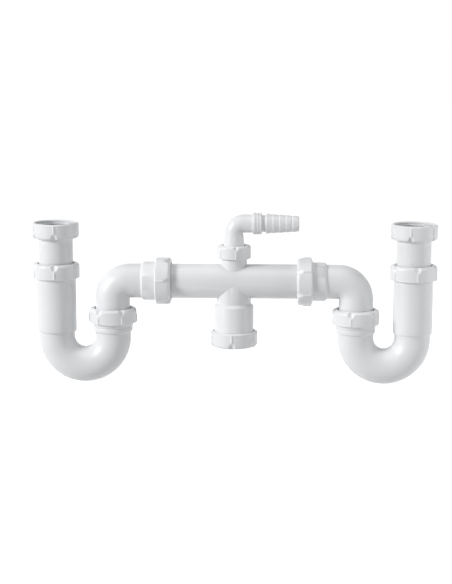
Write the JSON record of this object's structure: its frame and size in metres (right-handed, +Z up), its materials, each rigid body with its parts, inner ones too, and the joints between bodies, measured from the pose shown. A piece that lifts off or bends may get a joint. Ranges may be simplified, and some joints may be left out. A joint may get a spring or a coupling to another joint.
{
  "type": "double extendable sink trap",
  "caption": "Twin-bowl sink trap: telescopic U traps on both arms of a tee with a bottom outlet and a barbed hose nozzle on top, joined by slip nuts.",
  "frame": {"origin": "on the outlet's axis, where the seat cone in the socket's mouth ends and the plain bore begins", "axes": "+Z up, the arms along X, the barbed nozzle pointing to +X, the picture's viewer on the -Y side"},
  "size_m": [0.4704, 0.057, 0.2006],
  "materials": {
    "white_plastic": "moulded gloss",
    "seal": "soft matte"
  },
  "bodies": {
    "tee": {"tee": "white_plastic", "outlet_washer": "seal", "nozzle_washer": "seal"},
    "outlet_nut": {"outlet_nut": "white_plastic"},
    "nozzle": {"hose_nozzle": "white_plastic"},
    "nozzle_nut": {"nozzle_nut": "white_plastic"},
    "left_arm_seal": {"left_arm_washer": "seal"},
    "left_elbow": {"left_elbow": "white_plastic"},
    "left_arm_nut": {"left_arm_nut": "white_plastic"},
    "left_short_seal": {"left_short_washer": "seal"},
    "left_trap": {"left_u_bend": "white_plastic", "left_leg_washer": "seal"},
    "left_short_nut": {"left_short_nut": "white_plastic"},
    "left_leg_nut": {"left_leg_nut": "white_plastic"},
    "left_inlet": {"left_inlet_tube": "white_plastic", "left_inlet_washer": "seal"},
    "left_inlet_nut": {"left_inlet_nut": "white_plastic"},
    "right_arm_seal": {"right_arm_washer": "seal"},
    "right_elbow": {"right_elbow": "white_plastic"},
    "right_arm_nut": {"right_arm_nut": "white_plastic"},
    "right_short_seal": {"right_short_washer": "seal"},
    "right_trap": {"right_u_bend": "white_plastic", "right_leg_washer": "seal"},
    "right_short_nut": {"right_short_nut": "white_plastic"},
    "right_leg_nut": {"right_leg_nut": "white_plastic"},
    "right_inlet": {"right_inlet_tube": "white_plastic", "right_inlet_washer": "seal"},
    "right_inlet_nut": {"right_inlet_nut": "white_plastic"}
  },
  "joints": [
    {"name": "outlet_nut_turn", "type": "hinge", "parent": "tee", "child": "outlet_nut", "pos_m": [0, 0, 0], "axis": [0, 0, -1], "range_deg": [0, 360]},
    {"name": "nozzle_swivel", "type": "hinge", "parent": "tee", "child": "nozzle", "pos_m": [0, 0, 0.1082], "axis": [0, 0, 1], "continuous": true},
    {"name": "nozzle_nut_turn", "type": "hinge", "parent": "tee", "child": "nozzle_nut", "pos_m": [0, 0, 0.1042], "axis": [0, 0, 1], "range_deg": [0, 360]},
    {"name": "left_arm_slide", "type": "slide", "parent": "tee", "child": "left_arm_seal", "axis": [-1, 0, 0], "range_m": [-0.005, 0.01]},
    {"name": "left_arm_swivel", "type": "hinge", "parent": "left_arm_seal", "child": "left_elbow", "pos_m": [-0.09, 0, 0.0682], "axis": [-1, 0, 0], "continuous": true},
    {"name": "left_arm_nut_turn", "type": "hinge", "parent": "left_elbow", "child": "left_arm_nut", "pos_m": [-0.082, 0, 0.0682], "axis": [1, 0, 0], "range_deg": [0, 360]},
    {"name": "left_short_slide", "type": "slide", "parent": "left_elbow", "child": "left_short_seal", "axis": [0, 0, 1], "range_m": [-0.008, 0.005]},
    {"name": "left_trap_swivel", "type": "hinge", "parent": "left_short_seal", "child": "left_trap", "pos_m": [-0.1419, 0, 0.028], "axis": [0, 0, 1], "range_deg": [-110, 110]},
    {"name": "left_short_nut_turn", "type": "hinge", "parent": "left_trap", "child": "left_short_nut", "pos_m": [-0.1419, 0, 0.028], "axis": [0, 0, 1], "range_deg": [0, 360]},
    {"name": "left_leg_nut_turn", "type": "hinge", "parent": "left_trap", "child": "left_leg_nut", "pos_m": [-0.2079, 0, 0.08], "axis": [0, 0, 1], "range_deg": [0, 360]},
    {"name": "left_inlet_slide", "type": "slide", "parent": "left_trap", "child": "left_inlet", "axis": [0, 0, 1], "range_m": [-0.025, 0.03]},
    {"name": "left_inlet_nut_spin", "type": "hinge", "parent": "left_inlet", "child": "left_inlet_nut", "pos_m": [-0.2079, 0, 0.126], "axis": [0, 0, 1], "continuous": true},
    {"name": "right_arm_slide", "type": "slide", "parent": "tee", "child": "right_arm_seal", "axis": [1, 0, 0], "range_m": [-0.005, 0.01]},
    {"name": "right_arm_swivel", "type": "hinge", "parent": "right_arm_seal", "child": "right_elbow", "pos_m": [0.09, 0, 0.0682], "axis": [1, 0, 0], "continuous": true},
    {"name": "right_arm_nut_turn", "type": "hinge", "parent": "right_elbow", "child": "right_arm_nut", "pos_m": [0.082, 0, 0.0682], "axis": [-1, 0, 0], "range_deg": [0, 360]},
    {"name": "right_short_slide", "type": "slide", "parent": "right_elbow", "child": "right_short_seal", "axis": [0, 0, 1], "range_m": [-0.008, 0.005]},
    {"name": "right_trap_swivel", "type": "hinge", "parent": "right_short_seal", "child": "right_trap", "pos_m": [0.1419, 0, 0.028], "axis": [0, 0, 1], "range_deg": [-110, 110]},
    {"name": "right_short_nut_turn", "type": "hinge", "parent": "right_trap", "child": "right_short_nut", "pos_m": [0.1419, 0, 0.028], "axis": [0, 0, 1], "range_deg": [0, 360]},
    {"name": "right_leg_nut_turn", "type": "hinge", "parent": "right_trap", "child": "right_leg_nut", "pos_m": [0.2079, 0, 0.08], "axis": [0, 0, 1], "range_deg": [0, 360]},
    {"name": "right_inlet_slide", "type": "slide", "parent": "right_trap", "child": "right_inlet", "axis": [0, 0, 1], "range_m": [-0.025, 0.03]},
    {"name": "right_inlet_nut_spin", "type": "hinge", "parent": "right_inlet", "child": "right_inlet_nut", "pos_m": [0.2079, 0, 0.126], "axis": [0, 0, 1], "continuous": true}
  ]
}
